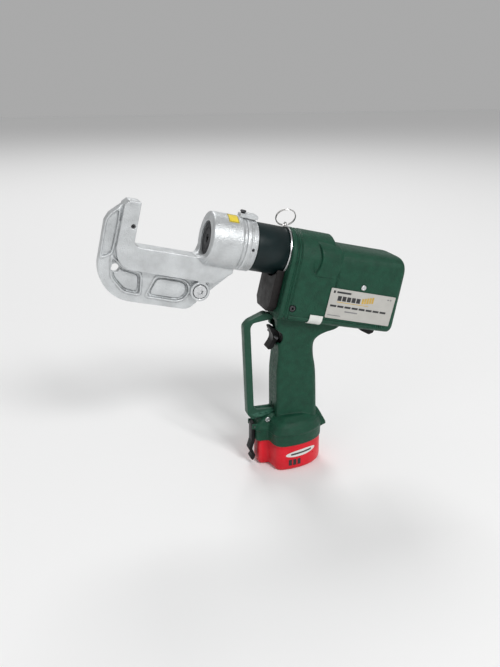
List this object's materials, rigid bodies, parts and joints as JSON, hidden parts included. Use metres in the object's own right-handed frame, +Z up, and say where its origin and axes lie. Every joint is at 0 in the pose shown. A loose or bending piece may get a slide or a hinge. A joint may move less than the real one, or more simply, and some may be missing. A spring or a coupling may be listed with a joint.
{
  "type": "cordless crimping tool",
  "caption": "Battery-powered hydraulic crimping tool: C-shaped swivel head with a ram, black neck, green pistol-grip housing with hand guard, slide-on red battery.",
  "frame": {"origin": "centre of the battery's flat bottom, on the tool's middle plane", "axes": "+Z up, nose and C head towards -X, +Y to the tool's right side; the barrel is pitched 13.2 degrees nose-up about Y"},
  "size_m": [0.3627, 0.075, 0.3402],
  "materials": {
    "forged_steel": "cast and blasted, satin",
    "aluminium": "machined, satin",
    "steel": "ground, bright",
    "dark_steel": "black oxide, satin",
    "chrome": "polished",
    "green_plastic": "fine moulded texture",
    "black_plastic": "matt",
    "red_plastic": "semi-gloss",
    "white_label": null,
    "yellow_label": "plain film",
    "rubber": "moulded",
    "brass": "machined",
    "board": "solder mask",
    "cell_wrap": "shrink wrap over a steel can"
  },
  "bodies": {
    "frame": {"housing_left": "green_plastic", "housing_right": "green_plastic", "front_block": "black_plastic", "neck_sleeve": "black_plastic", "neck_rim": "chrome", "strap_eye": "chrome", "hand_guard": "green_plastic", "guard_screw": "steel", "nameplate": "white_label", "side_tag": "white_label", "housing_screw_front": "dark_steel", "housing_screw_side": "steel", "trigger_pin": "steel", "latch_pin": "steel", "lever_pin": "steel", "pump_block": "forged_steel", "relief_valve": "brass", "oil_bladder": "rubber", "gearbox_case": "aluminium", "ring_gear": "steel", "motor_can": "steel", "motor_end_cap": "black_plastic", "switch_module": "black_plastic", "control_board": "board", "terminal_block": "black_plastic"},
    "head": {"c_head": "forged_steel", "swivel_collar": "forged_steel", "collar_set_screw": "dark_steel", "cylinder_tube": "steel", "lock_block": "forged_steel", "head_plug_screw": "steel", "anvil_set_screw": "dark_steel", "ram_wiper_seal": "rubber", "head_label": "yellow_label", "return_spring": "steel"},
    "ram": {"ram": "dark_steel", "ram_die_screw": "dark_steel", "piston_seal": "rubber"},
    "lock_pin": {"lock_pin": "dark_steel"},
    "strap_ring": {"strap_ring": "chrome"},
    "trigger": {"trigger": "black_plastic"},
    "battery_latch": {"battery_latch": "black_plastic"},
    "release_lever": {"release_lever": "black_plastic"},
    "battery": {"battery_case": "red_plastic", "battery_cover": "black_plastic", "case_cell_1": "cell_wrap", "case_cell_2": "cell_wrap", "stem_cell_1": "cell_wrap", "stem_cell_2": "cell_wrap", "contact_plus": "brass", "contact_minus": "brass"},
    "motor": {"motor_rotor": "dark_steel", "sun_gear": "steel"},
    "carrier": {"planet_carrier": "steel", "eccentric_shaft": "steel", "eccentric_bearing": "steel"},
    "planet_1": {"planet_gear_1": "steel"},
    "planet_2": {"planet_gear_2": "steel"},
    "planet_3": {"planet_gear_3": "steel"},
    "plunger": {"pump_plunger": "steel"}
  },
  "joints": [
    {"name": "head_swivel", "type": "hinge", "parent": "frame", "child": "head", "pos_m": [-0.0261, 0, 0.2742], "axis": [0.9736, 0, -0.2284], "range_deg": [-175, 175]},
    {"name": "ram_slide", "type": "slide", "parent": "head", "child": "ram", "axis": [-0.9736, 0, 0.2284], "range_m": [0, 0.042], "stiffness_N_per_m": 500},
    {"name": "lock_pin_pull", "type": "slide", "parent": "head", "child": "lock_pin", "axis": [0.2284, 0, 0.9736], "range_m": [0, 0.0025], "stiffness_N_per_m": 400},
    {"name": "ring_swing", "type": "hinge", "parent": "frame", "child": "strap_ring", "pos_m": [-0.00782, 0, 0.30134], "axis": [0.9736, 0, -0.2284], "range_deg": [-92, 32]},
    {"name": "trigger_pull", "type": "hinge", "parent": "frame", "child": "trigger", "pos_m": [-0.0214, 0, 0.169], "axis": [0, 1, 0], "range_deg": [-6, 6], "stiffness_Nm_per_rad": 0.3},
    {"name": "latch_pivot", "type": "hinge", "parent": "frame", "child": "battery_latch", "pos_m": [-0.0468, 0, 0.0525], "axis": [0, 1, 0], "range_deg": [0, 18], "stiffness_Nm_per_rad": 0.2},
    {"name": "battery_slide", "type": "slide", "parent": "frame", "child": "battery", "axis": [0, 0, -1], "range_m": [0, 0.085]},
    {"name": "lever_pull", "type": "hinge", "parent": "frame", "child": "release_lever", "pos_m": [0.08799, 0, 0.17164], "axis": [0, 1, 0], "range_deg": [0, 18], "stiffness_Nm_per_rad": 0.05},
    {"name": "motor_spin", "type": "hinge", "parent": "frame", "child": "motor", "pos_m": [0.0889, 0, 0.23901], "axis": [0.9736, 0, -0.2284], "continuous": true},
    {"name": "carrier_spin", "type": "hinge", "parent": "frame", "child": "carrier", "pos_m": [0.05483, 0, 0.247], "axis": [0.9736, 0, -0.2284], "continuous": true},
    {"name": "planet_spin_1", "type": "hinge", "parent": "carrier", "child": "planet_1", "pos_m": [0.06536, 0, 0.25686], "axis": [0.9736, 0, -0.2284], "continuous": true},
    {"name": "planet_spin_2", "type": "hinge", "parent": "carrier", "child": "planet_2", "pos_m": [0.06125, -0.01039, 0.23933], "axis": [0.9736, 0, -0.2284], "continuous": true},
    {"name": "planet_spin_3", "type": "hinge", "parent": "carrier", "child": "planet_3", "pos_m": [0.06125, 0.01039, 0.23933], "axis": [0.9736, 0, -0.2284], "continuous": true},
    {"name": "plunger_stroke", "type": "slide", "parent": "frame", "child": "plunger", "axis": [0.2284, 0, 0.9736], "range_m": [0, 0.0052]}
  ],
  "couplings": [
    {"joint": "carrier_spin", "follows": "motor_spin", "ratio": 0.25},
    {"joint": "planet_spin_1", "follows": "motor_spin", "ratio": -0.75},
    {"joint": "planet_spin_2", "follows": "motor_spin", "ratio": -0.75},
    {"joint": "planet_spin_3", "follows": "motor_spin", "ratio": -0.75}
  ]
}
